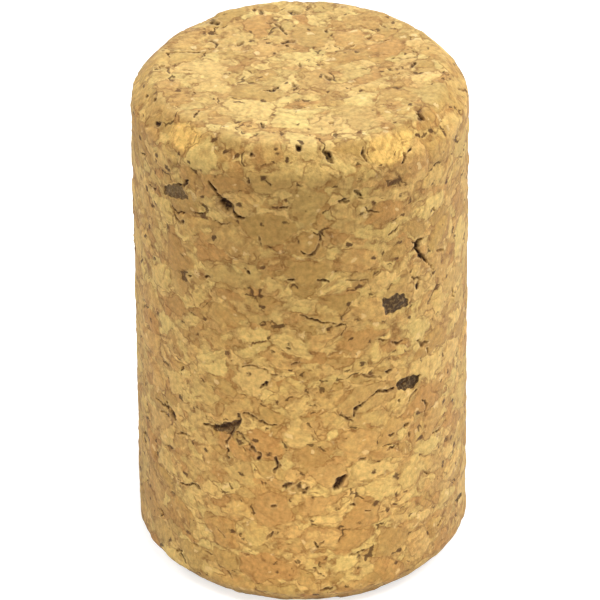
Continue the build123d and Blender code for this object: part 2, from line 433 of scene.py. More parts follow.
# The top face, from the back to the front
TOP_MARKS = (
    Mark(((-2.82, 8.98), (-2.75, 8.39)), width=0.5, tone=0.8),
    Mark(((-0.73, 8.67), (-0.07, 8.42)), width=0.55, tone=0.85),
    Mark(((-6.5, 8.2), (-6.1, 7.5)), width=0.4),
    Mark(((-6.34, 7.33), (-5.91, 7.03)), width=0.7, depth=0.3, tone=0.95),
    Mark(((1.6, 7.3), (2, 7.15)), width=0.24, kind=Kind.STAIN),
    Mark(((-2.34, 7.02), (-1.85, 7.04), (-1.38, 6.37), (-0.89, 5.34)), tone=0.7),
    Mark(((5.8, 6.9), (6.2, 6.3)), width=0.26),
    Mark(((1.98, 6.1), (2, 5.6)), width=0.28),
    Mark(((5.2, 5.4), (5, 4.7), (5.5, 4.2)), width=0.2, kind=Kind.STAIN),
    Mark(((-6.46, 4.54), (-5.96, 4.24), (-5.95, 3.58)), tone=0.8),
    Mark(((5.6, 4.2), (6.4, 4.45)), width=0.34),
    Mark(((-1.17, 4.1), (-0.8, 4.17), (-0.39, 4.46)), width=0.5, tone=0.85),
    Mark(((2.3, 3.9), (3, 3.1)), width=0.2),
    Mark(((-4.51, 3.79), (-4.03, 4.22)), width=0.42, tone=0.85),
    Mark(((3.2, 3.1), (3.85, 3.6)), width=0.34),
    Mark(((7.2, 2.9), (7.8, 3), (8.45, 2.5), (8.2, 1.8), (7.4, 1.6), (6.8, 1.8)), width=0.18),
    Mark(((-7.94, 2.82), (-7.16, 2.83)), width=0.4, tone=0.9),
    Mark(((-9.57, 2.74), (-7.96, 2.82), (-7.08, 2.84)), width=0.22, tone=0.7),
    Mark(((5.9, 2.3), (6.3, 2.2)), width=0.2, kind=Kind.STAIN),
    Mark(((0.02, 1.2), (0.08, 0.55)), width=0.26),
    Mark(((8.15, 1.15), (7.9, 0.4)), width=0.34),
    Mark(((-9.94, 0.75), (-9.62, 0.89)), width=0.34, tone=0.8),
    Mark(((4.3, 0.4), (4.7, 0.25)), width=0.26),
    Mark(((6.8, 0.35), (7.05, 0.2)), width=0.28),
    Mark(((-8.25, 0.32), (-7.61, 0.21)), width=0.26, tone=0.7),
    Mark(((-0.4, -0.6), (-0.1, -1)), width=0.2, kind=Kind.STAIN),
    Mark(((1.8, -0.8), (2.3, -1.3)), width=0.45),
    Mark(((11.2, -1), (11.7, -0.4))),
    Mark(((-0.47, -1.61), (-0.42, -2.18)), width=0.36, tone=0.8),
    Mark(((-7.89, -2), (-7.74, -2.22)), width=0.26, tone=0.8),
    Mark(((-2.59, -2.72), (-2.01, -2.92), (-1.53, -2.22)), width=0.34, tone=0.9),
    Mark(((-7.49, -2.86), (-7.31, -3.01)), width=0.26, tone=0.8),
    Mark(((-4.84, -3.72), (-4.56, -3.83)), width=0.24, tone=0.7),
    Mark(((8.1, -5.3), (8.4, -5.9), (8.7, -6.3)), width=0.45, kind=Kind.STAIN),
    Mark(((-10.1, -5.4), (-10, -5.6)), width=0.24),
    Mark(((-7.08, -5.55), (-7.21, -5.9), (-7.4, -6.47)), tone=0.9),
    Mark(((-0.4, -6.1), (-0.1, -6.3)), width=0.2, kind=Kind.STAIN),
    Mark(((8.2, -6.1), (8.7, -6.3)), width=0.35, depth=0.4),
    Mark(((-2.73, -7.3), (-2.59, -7.93)), tone=0.85),
    Mark(((2.1, -7.5), (2.25, -7.25)), width=0.36, depth=0.4),
    Mark(((1.9, -10.9), (2.3, -11.1)), width=0.4),
)


@dataclass(frozen=True)
class RimNick:
    """The place in the rim of the top face where a granule has come away. Its floor slopes outwards.

    The bearing runs from the right towards the back, and the end slope is how steeply the nick ends.
    """

    length: float = 3.4
    depth: float = 0.35
    slope: float = 24.0
    bearing: float = 134.0
    end_slope: float = 0.9
    inward_reach: float = 2.0

    def cut(self, places: np.ndarray, section: GroundSection) -> np.ndarray:
        """How deep the nick cuts at each place.

        Args:
            places: Points on the ground surface.
            section: The stopper's section.

        Returns:
            A depth for each place, square to the nick's floor.
        """
        bearing, slope = math.radians(self.bearing), math.radians(self.slope)
        outward = np.array([math.cos(bearing), math.sin(bearing), 0])
        along = np.array([-outward[1], outward[0], 0])
        floor_normal = outward * math.sin(slope) + np.array([0, 0, math.cos(slope)])
        rim = outward * (section.radius - section.top_chamfer[0]) + np.array([0, 0, section.length])
        above = (places - rim) @ floor_normal + self.depth
        in_from_end = (self.length / 2 - np.abs((places - rim) @ along)) * self.end_slope
        depth = np.clip(np.minimum(above, in_from_end), 0, None)
        return np.where((places - rim) @ outward > -self.inward_reach, depth, 0)


@dataclass
class Weathering:
    """Turns the marks into fields over the stopper's surface.

    A cover is 1 in the middle of a mark, 0 at its edge and -1 far from it. Every stride a line wavers to
    one side and swells or thins, and it tapers at both ends. A patch's edge ripples, and is a little soft.
    The rooms are how far from a mark its cover is worked out.
    """

    section: GroundSection
    marks: tuple[Mark, ...]
    nick: RimNick = RimNick()
    seed: int = 7
    stride: float = 0.16
    waver: float = 0.05
    swelling: tuple[float, float] = (0.75, 1.2)
    line_ends: tuple[float, float] = (0.12, 0.88)
    line_room: float = 0.3
    ripples: int = 5
    ripple_heights: tuple[float, float] = (0.02, 0.05)
    ripple_turns: float = 14.0
    patch_edge: float = 0.12
    patch_room: float = 1.5
    tone_reach: float = 0.95
    cut_steepness: float = 1.4
    cut_overlap: float = 0.1

    def spot(self, point: tuple[float, float], side: Side) -> np.ndarray:
        """Where a mark's point lies in space.

        Args:
            point: The point, as Mark has it.
            side: The side that the mark is on.

        Returns:
            Its place.
        """
        if side is Side.WALL:
            angle, height = math.radians(point[0]), point[1]
            radius = self.section.radius_at(height)
            return np.array([radius * math.sin(angle), -radius * math.cos(angle), height])
        if side is Side.BASE:
            return np.array([point[0], point[1], 0.0])
        slope = self.section.top_chamfer[1] / self.section.top_chamfer[0]
        rim = self.section.radius - self.section.top_chamfer[0]
        past_rim = max(0.0, math.hypot(*point) - rim)
        return np.array([point[0], point[1], self.section.length - past_rim * slope])

    def line_cover(self, mark: Mark, places: np.ndarray, rng: np.random.Generator) -> np.ndarray:
        """How well a line mark covers each place.

        Args:
            mark: A mark that is a line.
            places: Points on the surface.
            rng: Source of the line's unevenness.

        Returns:
            The cover of each place.
        """
        knots = np.array([self.spot(p, mark.side) for p in mark.points])
        run = distances_along(knots)
        count = max(3, round(run[-1] / self.stride) + 1)
        along = np.linspace(0, run[-1], count)
        path = np.stack([np.interp(along, run, knots[:, k]) for k in range(3)], axis=1)
        path[1:-1] += rng.normal(0, self.waver, (count - 2, 3))
        fullness = np.sqrt(np.sin(np.linspace(*self.line_ends, count) * math.pi))
        widths = mark.width / 2 * fullness * rng.uniform(*self.swelling, count)
        cover = np.full(len(places), -1.0)
        margin = mark.width + self.line_room
        near = np.all((places > path.min(0) - margin) & (places < path.max(0) + margin), axis=1)
        for a, b, wa, wb in zip(path[:-1], path[1:], widths[:-1], widths[1:]):
            step = b - a
            share = np.clip((places[near] - a) @ step / (step @ step), 0, 1)
            gap = np.linalg.norm(places[near] - a - share[:, None] * step, axis=1)
            cover[near] = np.maximum(cover[near], 1 - gap / (wa + (wb - wa) * share))
        return cover

    def patch_cover(self, mark: Mark, places: np.ndarray, rng: np.random.Generator) -> np.ndarray:
        """How well a patch covers each place.

        Args:
            mark: A patch.
            places: Points on the surface.
            rng: Source of the edge's unevenness.

        Returns:
            The cover of each place.
        """
        knots = np.array([self.spot(p, mark.side) for p in mark.points])
        centre = knots.mean(0)
        outward = centre * (1, 1, 0) / np.linalg.norm(centre * (1, 1, 0))
        upward = np.array([0, 0, 1.0])
        rightward = np.cross(upward, outward)
        flat = np.stack([(knots - centre) @ rightward, (knots - centre) @ upward], axis=1)
        spots = np.stack([(places - centre) @ rightward, (places - centre) @ upward], axis=1)
        heights, turns = self.ripple_heights, self.ripple_turns
        ripple = np.zeros(len(places))
        for _ in range(self.ripples):
            height, direction, phase = rng.uniform(*heights), rng.uniform(-turns, turns, 2), rng.uniform(0, 6)
            ripple += height * np.sin(spots @ direction + phase)
        beyond = np.full(len(places), -np.inf)
        for a, b in zip(flat, np.roll(flat, -1, axis=0)):
            edge = (b - a) / np.linalg.norm(b - a)
            beyond = np.maximum(beyond, (spots - a) @ np.array([-edge[1], edge[0]]))
        beyond[(places - centre) @ outward < -self.patch_room] = np.inf
        return np.clip(-(beyond + ripple) / self.patch_edge, -1, 1)

    def fields(self, places: np.ndarray) -> dict[str, np.ndarray]:
        """The cover of each kind of mark, and how deep the marks cut.

        Args:
            places: Points on the surface.

        Returns:
            A value for each place under each kind's name, the tone under "tone", and the depth in
            millimetres under "cut".
        """
        rng = np.random.default_rng(self.seed)
        made = {kind.value: np.full(len(places), -1.0) for kind in Kind}
        cut = np.zeros(len(places))
        tone = np.full(len(places), Mark.tone)
        for mark in self.marks:
            drawn = self.patch_cover if isinstance(mark, Patch) else self.line_cover
            cover = drawn(mark, places, rng)
            tone = np.where(cover > np.maximum(made[mark.kind.value], -self.tone_reach), mark.tone, tone)
            made[mark.kind.value] = np.maximum(made[mark.kind.value], cover)
            if mark.kind in (Kind.GAP, Kind.BARK):
                # A cut falls off in a smooth curve, which starts just outside the mark's edge
                fall = np.clip(cover * self.cut_steepness + self.cut_overlap, 0, 1)
                cut = np.maximum(cut, mark.depth * fall * fall * (3 - 2 * fall))
        return made | {"tone": tone, "cut": np.maximum(cut, self.nick.cut(places, self.section))}


# The cork
@dataclass(frozen=True)
class Granules:
    """The granule pattern, as it stands in one tree.

    The place is on the ground surface, in millimetres, and bent is the place that the granules see. The
    seam is the distance to the nearest seam, in millimetres. Chance holds three random numbers for each
    granule, and blend the same, but running into each other at the seams. Crevice is 1 in an open seam.
    """

    tree: Tree
    place: Socket
    bent: Socket
    seam: Socket
    chance: Socket
    blend: Socket
    crevice: Socket


@dataclass(frozen=True)
class GranulePattern:
    """How the granules lie in the cork, in space, so that one pattern runs over the wall and the ends.

    The press flattens them along the rod. Small fragments fill in between the large ones, and here and
    there two granules don't meet, which leaves a crevice along their seam.
    """

    # Granules for stoppers are sieved to 2 to 4 mm, and the fines that go with them to about 1 mm
    width: float = 3.0
    height: float = 2.1
    fines_width: float = 1.2
    # Fines lie up to 0.4 mm in from a large granule's border, and gather in places about 3 mm wide
    fines_place: Mottle = Mottle(3.0)
    fines_reach: Ramp = Ramp(0.35, 0.65, high=0.4)
    # Milling tears the bark, so a granule's sides bend every 2 mm or so and fray every half millimetre
    bend: float = 0.55
    bending: Mottle = Mottle(2.2)
    fray: float = 0.3
    fraying: Mottle = Mottle(0.55)
    # At a seam two colours run into each other over about a tenth of a millimetre
    blend: float = 0.1
    fines_blend: Ramp = Ramp(-0.12, 0.12)
    # An open seam is up to 0.15 mm wide, and closes again after about a millimetre
    opening: Mottle = Mottle(1.1, 1.0)
    crevice_half_width: Ramp = Ramp(0.575, 0.68, high=0.075)
    crevice_edge: Ramp = Ramp(-0.02, 0.04)

    def bent(self, tree: Tree, place: Socket) -> Socket:
        """Bends and frays the place, so that the granules' sides aren't straight.

        Args:
            tree: The tree.
            place: The place on the ground surface, in millimetres.

        Returns:
            The place that the granules see.
        """
        add = partial(add_node, tree)
        moved = place
        middle = (0.5,) * 3
        for mottle, amount in ((self.bending, self.bend), (self.fraying, self.fray)):
            shift = add("ShaderNodeTexNoise", mottle.sockets(place)).outputs["Color"]
            shift = add("ShaderNodeVectorMath", {0: shift, 1: middle}, operation="SUBTRACT").outputs[0]
            shift = {0: shift, "Scale": amount * 2}
            shift = add("ShaderNodeVectorMath", shift, operation="SCALE").outputs[0]
            moved = add("ShaderNodeVectorMath", {0: moved, 1: shift}, operation="ADD").outputs[0]
        return moved

    def cells(self, tree: Tree, bent: Socket, width: float) -> tuple[Socket, Socket, Socket]:
        """Fills space with granules of one size.

        Args:
            tree: The tree.
            bent: The place that the granules see.
            width: How wide a granule is.

        Returns:
            Each granule's chance and blend, and the distance to its seam, as in Granules.
        """
        add = partial(add_node, tree)
        height = width * self.height / self.width
        size = (1 / width, 1 / width, 1 / height)
        scaled = add("ShaderNodeVectorMath", {0: bent, 1: size}, operation="MULTIPLY").outputs[0]
        inputs = {"Vector": scaled, "Scale": 1.0, "Randomness": 1.0}
        chance = add("ShaderNodeTexVoronoi", inputs, feature="F1").outputs["Color"]
        soft = inputs | {"Smoothness": self.blend}
        blend = add("ShaderNodeTexVoronoi", soft, feature="SMOOTH_F1").outputs["Color"]
        edge = add("ShaderNodeTexVoronoi", inputs, feature="DISTANCE_TO_EDGE").outputs["Distance"]
        seam = add("ShaderNodeMath", {0: edge, 1: height}, operation="MULTIPLY").outputs[0]
        return chance, blend, seam

    def build(self, tree: Tree, place: Socket) -> Granules:
        """Adds the pattern's nodes to a tree, the relief's or the finish's.

        Args:
            tree: The tree.
            place: The place on the ground surface, in millimetres.

        Returns:
            The pattern.
        """
        add = partial(add_node, tree)
        bent = self.bent(tree, place)
        large, large_blend, large_seam = self.cells(tree, bent, self.width)
        small, small_blend, small_seam = self.cells(tree, bent, self.fines_width)
        patchy = add("ShaderNodeTexNoise", self.fines_place.sockets(place)).outputs[0]
        reach = add("ShaderNodeMapRange", self.fines_reach.sockets(patchy)).outputs[0]
        inward = add("ShaderNodeMath", {0: reach, 1: large_seam}, operation="SUBTRACT").outputs[0]
        border = add("ShaderNodeMath", {0: inward}, operation="ABSOLUTE").outputs[0]
        is_fines = add("ShaderNodeMath", {0: inward, 1: 0.0}, operation="GREATER_THAN").outputs[0]
        soft_fines = add("ShaderNodeMapRange", self.fines_blend.sockets(inward), **SMOOTH).outputs[0]
        fines_seam = add("ShaderNodeMath", {0: small_seam, 1: border}, operation="MINIMUM").outputs[0]
        seam = {"Factor": is_fines, "A": border, "B": fines_seam}
        chance = {"Factor": is_fines, "A": large, "B": small}
        blend = {"Factor": soft_fines, "A": large_blend, "B": small_blend}
        opening = add("ShaderNodeTexNoise", self.opening.sockets(place)).outputs[0]
        opening = self.crevice_half_width.sockets(opening)
        opening = add("ShaderNodeMapRange", opening, **SMOOTH).outputs[0]
        parted = add("ShaderNodeMath", {0: opening, 1: large_seam}, operation="SUBTRACT").outputs[0]
        return Granules(
            tree,
            place,
            bent,
            seam=add("ShaderNodeMix", seam, data_type="FLOAT").outputs["Result"],
            chance=add("ShaderNodeMix", chance, **COLOURS).outputs["Result"],
            blend=add("ShaderNodeMix", blend, **COLOURS).outputs["Result"],
            crevice=add("ShaderNodeMapRange", self.crevice_edge.sockets(parted), **SMOOTH).outputs[0],
        )


@dataclass(frozen=True)
class Specks:
    """Specks scattered through the cork.

    They are so many millimetres apart, and the largest reach so large a share of that. The share of places
    that have one, how well it covers and its colour follow.
    """

    spacing: float
    largest: float
    share: float
    strength: float
    colour: str


@dataclass(frozen=True)
class AgglomeratedCork:
    """Cork granules bonded with a little binder, then ground and left unwaxed.

    Dry cork is a mass of cut cells, so it scatters light with almost no gloss, and looks a little paler
    where it turns away. Each granule comes from another piece of bark, so it has its own tone, and its
    growth lines run its own way.
    """

    pattern: GranulePattern = GranulePattern()
    dark_tan: str = "#b0864a"
    pale_gold: str = "#d9bb76"
    pinkish: str = "#c99f64"
    greenish: str = "#c0ae6a"
    pale_granule: str = "#e8c272"
    growth_line: str = "#94693a"
    seam_glue: str = "#7b5329"
    # Gaps and open seams are painted dark brown: partly their own colour and partly painted shade of the
    # hollows that the relief sinks
    gap: str = "#38230f"
    gap_edge: str = "#7a5026"
    gap_rim_highlight: str = "#ecd096"
    bark: str = "#47351f"
    bark_fleck: str = "#7c6440"
    stain: str = "#80592e"
    # Painted warm light: the ground wall is tinted warmer than the ends, standing in for the warmer light
    # that falls on it
    wall_light_tint: str = "#fff8ec"

    # A granule's tone clouds over about a millimetre, as the bark's did
    cloud: Mottle = Mottle(1.2, 3.0)
    cloud_share: float = 0.8
    tones: Ramp = Ramp(0.5, 1.3)
    hue_share: float = 0.3
    own_level: Ramp = Ramp(0.0, 1.0, 0.93, 1.07)
    pale_edge: Ramp = Ramp(-0.6, 0.8, high=0.8)
    # One row of cells is 0.04 mm, too fine to show, so the lines are drawn 0.38 mm apart and 2.5 mm long
    line_spacing: float = 0.38
    line_length: float = 2.5
    line_breaks: Mottle = Mottle(1.0, 3.0)
    line_edge: Ramp = Ramp(0.46, 0.68)
    line_strength: Ramp = Ramp(0.0, 1.0, 0.12, 0.62)
    # Grinding opens the cells in clusters, which are too fine to show, so each is drawn 0.34 mm wide
    speckle: Mottle = Mottle(0.34, 4.0)
    speckle_level: Ramp = Ramp(0.28, 0.72, 0.76, 1.28)
    # Cut cells that face the light, and the dark dust of the bark's own pores, up to half a millimetre wide
    specks: tuple[Specks, ...] = (
        Specks(spacing=0.75, largest=0.4, share=0.3, strength=0.6, colour="#ecd096"),
        Specks(spacing=0.85, largest=0.34, share=0.5, strength=0.9, colour="#51351b"),
    )
    speck_raggedness: float = 0.5
    speck_edge: tuple[float, float] = (-0.28, -0.1)
    # Binder browns the cork for up to 0.11 mm on either side of a seam, in runs of about a millimetre
    glue_edge: Ramp = Ramp(0.0, 0.11, 0.75, 0.0)
    glue_run: Mottle = Mottle(0.8, 3.0)
    glue_run_edge: Ramp = Ramp(0.4, 0.62)
    # Torn edges and flecks of bark are about 0.2 mm across, and a mark's tone changes every 0.35 mm
    tears: Mottle = Mottle(0.22, 3.0)
    tears_middle: float = 0.52
    fleck_edge: Ramp = Ramp(0.47, 0.64)
    wear: Mottle = Mottle(0.35, 1.0)
    wear_level: Ramp = Ramp(0.35, 0.6, 0.5, 1.2)
    # How soft and how frayed each kind of mark is at its edge, in shares of its half width
    mark_edges: tuple[tuple[Kind, float, float], ...] = (
        (Kind.STAIN, 1.0, 0.8),
        (Kind.BARK, 0.15, 0.3),
        (Kind.GAP, 0.55, 0.8),
    )
    # How dark a granule's own open seam is painted: partly its colour and partly painted shade of the hollow
    crevice_tone: float = 0.8
    # Painted highlight: beside a gap the cork is painted paler, as if the gap's edge caught the light
    highlight_rim_ramp: Ramp = Ramp(-0.95, -0.35, high=0.14)

    # Grit of 0.1 mm leaves a nap that is too fine to show, so it is drawn at 0.16 mm
    nap: Mottle = Mottle(0.16, 3.0)
    nap_strength: float = 0.8
    nap_height: float = 0.08
    # Cork's waxy cell walls refract about as wood does, and the cut cells give a faint sheen
    ior: float = 1.4
    roughness: float = 0.9
    gloss: float = 0.3
    sheen: float = 0.12
    sheen_roughness: float = 0.5

    def build(self) -> bpy.types.Material:
        """Makes the material.

        Returns:
            The finish for the stopper's slot.
        """
        material = bpy.data.materials.new("ground_agglomerated_cork")
        material.use_nodes = True
        tree = material.node_tree
        tree.nodes.clear()
        add = partial(add_node, tree)
        place = add("ShaderNodeAttribute", attribute_name="place").outputs["Vector"]
        granules = self.pattern.build(tree, place)
        colour = self.marked_colour(granules, self.flecked_colour(granules, self.granule_colour(granules)))
        # The wall takes a warm tint of painted light, which fades out towards the ends
        ground = add("ShaderNodeAttribute", attribute_name="ground").outputs["Fac"]
        tinted = {"Factor": ground, "A": colour, "B": linear(self.wall_light_tint)}
        tinted = add("ShaderNodeMix", tinted, data_type="RGBA", blend_type="MULTIPLY").outputs["Result"]
        nap = add("ShaderNodeTexNoise", self.nap.sockets(place)).outputs[0]
        nap = {"Height": nap, "Strength": self.nap_strength, "Distance": self.nap_height * MM}
        surface = {
            "Base Color": tinted,
            "Roughness": self.roughness,
            "IOR": self.ior,
            "Specular IOR Level": self.gloss,
            "Sheen Weight": self.sheen,
            "Sheen Roughness": self.sheen_roughness,
            "Normal": add("ShaderNodeBump", nap).outputs["Normal"],
        }
        surface = add("ShaderNodeBsdfPrincipled", surface).outputs["BSDF"]
        add("ShaderNodeOutputMaterial", {"Surface": surface})
        return material

    def granule_colour(self, granules: Granules) -> Socket:
        """Colours each granule, with its growth lines.

        Args:
            granules: The pattern in the material's nodes.

        Returns:
            The colour of plain cork.
        """
        add = partial(add_node, granules.tree)
        chance = add("ShaderNodeSeparateColor", {"Color": granules.chance}).outputs
        blend = add("ShaderNodeSeparateColor", {"Color": granules.blend}).outputs
        cloud = add("ShaderNodeTexNoise", self.cloud.sockets(granules.place)).outputs[0]
        hues = []
        golds, warm_to_cool = (self.dark_tan, self.pale_gold), (self.pinkish, self.greenish)
        for chances, (dark, pale) in ((blend["Red"], golds), (blend["Green"], warm_to_cool)):
            tone = {0: cloud, 1: self.cloud_share, 2: chances}
            tone = add("ShaderNodeMath", tone, operation="MULTIPLY_ADD").outputs[0]
            tone = add("ShaderNodeMapRange", self.tones.sockets(tone)).outputs[0]
            hue = {"Factor": tone, "A": linear(dark), "B": linear(pale)}
            hues.append(add("ShaderNodeMix", hue, **COLOURS).outputs["Result"])
        tan = {"Factor": self.hue_share, "A": hues[0], "B": hues[1]}
        tan = add("ShaderNodeMix", tan, **COLOURS).outputs["Result"]
        pale = add("ShaderNodeAttribute", attribute_name=Kind.PALE.value).outputs["Fac"]
        pale = add("ShaderNodeMapRange", self.pale_edge.sockets(pale), **SMOOTH).outputs[0]
        tan = {"Factor": pale, "A": tan, "B": linear(self.pale_granule)}
        tan = add("ShaderNodeMix", tan, **COLOURS).outputs["Result"]
        turn = {0: granules.chance, "Scale": 2 * math.pi}
        turn = add("ShaderNodeVectorMath", turn, operation="SCALE").outputs[0]
        own_way = {"Vector": granules.bent, "Rotation": turn}
        own_way = add("ShaderNodeVectorRotate", own_way, rotation_type="EULER_XYZ").outputs[0]
        drawn_out = {0: own_way, 1: (1 / self.line_spacing, 1 / self.line_length, 1 / self.line_length)}
        drawn_out = add("ShaderNodeVectorMath", drawn_out, operation="MULTIPLY").outputs[0]
        lines = add("ShaderNodeTexNoise", self.line_breaks.sockets(drawn_out)).outputs[0]
        lines = add("ShaderNodeMapRange", self.line_edge.sockets(lines), **SMOOTH).outputs[0]
        strength = add("ShaderNodeMapRange", self.line_strength.sockets(chance["Blue"])).outputs[0]
        lines = add("ShaderNodeMath", {0: lines, 1: strength}, operation="MULTIPLY").outputs[0]
        lined = {"Factor": lines, "A": tan, "B": linear(self.growth_line)}
        lined = add("ShaderNodeMix", lined, **COLOURS).outputs["Result"]
        level = add("ShaderNodeMapRange", self.own_level.sockets(blend["Blue"])).outputs[0]
        return add("ShaderNodeVectorMath", {0: lined, "Scale": level}, operation="SCALE").outputs[0]

    def flecked_colour(self, granules: Granules, plain: Socket) -> Socket:
        """Adds the grinding's speckle, pale cut cells and specks of dust from the bark's pores.

        Args:
            granules: The pattern in the material's nodes.
            plain: The colour of plain cork.

        Returns:
            The flecked colour.
        """
        add = partial(add_node, granules.tree)
        speckle = add("ShaderNodeTexNoise", self.speckle.sockets(granules.place)).outputs[0]
        level = add("ShaderNodeMapRange", self.speckle_level.sockets(speckle)).outputs[0]
        colour = add("ShaderNodeVectorMath", {0: plain, "Scale": level}, operation="SCALE").outputs[0]
        for specks in self.specks:
            scaled = {0: granules.bent, "Scale": 1 / specks.spacing}
            scaled = add("ShaderNodeVectorMath", scaled, operation="SCALE").outputs[0]
            spots = add("ShaderNodeTexVoronoi", {"Vector": scaled, "Scale": 1.0}).outputs
            odds = add("ShaderNodeSeparateColor", {"Color": spots["Color"]}).outputs["Red"]
            reach = Ramp(1 - specks.share, 1.0, high=specks.largest)
            reach = add("ShaderNodeMapRange", reach.sockets(odds)).outputs[0]
            ragged = {0: speckle, 1: self.speck_raggedness, 2: spots["Distance"]}
            ragged = add("ShaderNodeMath", ragged, operation="MULTIPLY_ADD").outputs[0]
            inside = add("ShaderNodeMath", {0: reach, 1: ragged}, operation="SUBTRACT").outputs[0]
            cover = Ramp(*self.speck_edge, high=specks.strength)
            cover = add("ShaderNodeMapRange", cover.sockets(inside), **SMOOTH).outputs[0]
            colour = {"Factor": cover, "A": colour, "B": linear(specks.colour)}
            colour = add("ShaderNodeMix", colour, **COLOURS).outputs["Result"]
        return colour

    def marked_colour(self, granules: Granules, sound: Socket) -> Socket:
        """Lays the seams, a painted highlight beside the gaps, the stains, the bark chips and the gaps over
        the sound cork. The gaps' dark is partly painted shade.

        Args:
            granules: The pattern in the material's nodes.
            sound: The colour of sound cork.

        Returns:
            The finished colour.
        """
        add = partial(add_node, granules.tree)
        glue = add("ShaderNodeMapRange", self.glue_edge.sockets(granules.seam), **SMOOTH).outputs[0]
        run = add("ShaderNodeTexNoise", self.glue_run.sockets(granules.place)).outputs[0]
        run = add("ShaderNodeMapRange", self.glue_run_edge.sockets(run)).outputs[0]
        glue = add("ShaderNodeMath", {0: glue, 1: run}, operation="MULTIPLY").outputs[0]
        tears = add("ShaderNodeTexNoise", self.tears.sockets(granules.place)).outputs[0]
        signed, covers = {}, {}
        for kind, soft, fray in self.mark_edges:
            signed[kind] = add("ShaderNodeAttribute", attribute_name=kind.value).outputs["Fac"]
            ragged = {0: tears, 1: fray, 2: signed[kind]}
            ragged = add("ShaderNodeMath", ragged, operation="MULTIPLY_ADD").outputs[0]
            middle = fray * self.tears_middle
            edge = Ramp(middle - soft / 2, middle + soft)
            covers[kind] = add("ShaderNodeMapRange", edge.sockets(ragged), **SMOOTH).outputs[0]
        tone = add("ShaderNodeAttribute", attribute_name="tone").outputs["Fac"]
        wear = add("ShaderNodeTexNoise", self.wear.sockets(granules.place)).outputs[0]
        wear = add("ShaderNodeMapRange", self.wear_level.sockets(wear)).outputs[0]
        worn = add("ShaderNodeMath", {0: tone, 1: wear}, operation="MULTIPLY").outputs[0]
        for kind, share in ((Kind.STAIN, worn), (Kind.GAP, worn), (Kind.BARK, tone)):
            faded = {0: covers[kind], 1: share}
            covers[kind] = add("ShaderNodeMath", faded, operation="MULTIPLY", use_clamp=True).outputs[0]
        # Open seams and gaps get their dark brown, which is partly painted shade of the hollow
        own = {0: granules.crevice, 1: self.crevice_tone}
        own = add("ShaderNodeMath", own, operation="MULTIPLY").outputs[0]
        opened = add("ShaderNodeMath", {0: covers[Kind.GAP], 1: own}, operation="MAXIMUM").outputs[0]
        shade = {"Factor": opened, "A": linear(self.gap_edge), "B": linear(self.gap)}
        fleck = add("ShaderNodeMapRange", self.fleck_edge.sockets(tears), **SMOOTH).outputs[0]
        bark = {"Factor": fleck, "A": linear(self.bark), "B": linear(self.bark_fleck)}
        # A pale rim of painted highlight runs beside each gap
        beside = self.highlight_rim_ramp.sockets(signed[Kind.GAP])
        colour = sound
        for cover, tint in (
            (glue, linear(self.seam_glue)),
            (add("ShaderNodeMapRange", beside, **SMOOTH).outputs[0], linear(self.gap_rim_highlight)),
            (covers[Kind.STAIN], linear(self.stain)),
            (covers[Kind.BARK], add("ShaderNodeMix", bark, **COLOURS).outputs["Result"]),
            (opened, add("ShaderNodeMix", shade, **COLOURS).outputs["Result"]),
        ):
            layer = {"Factor": cover, "A": colour, "B": tint}
            colour = add("ShaderNodeMix", layer, **COLOURS).outputs["Result"]
        return colour


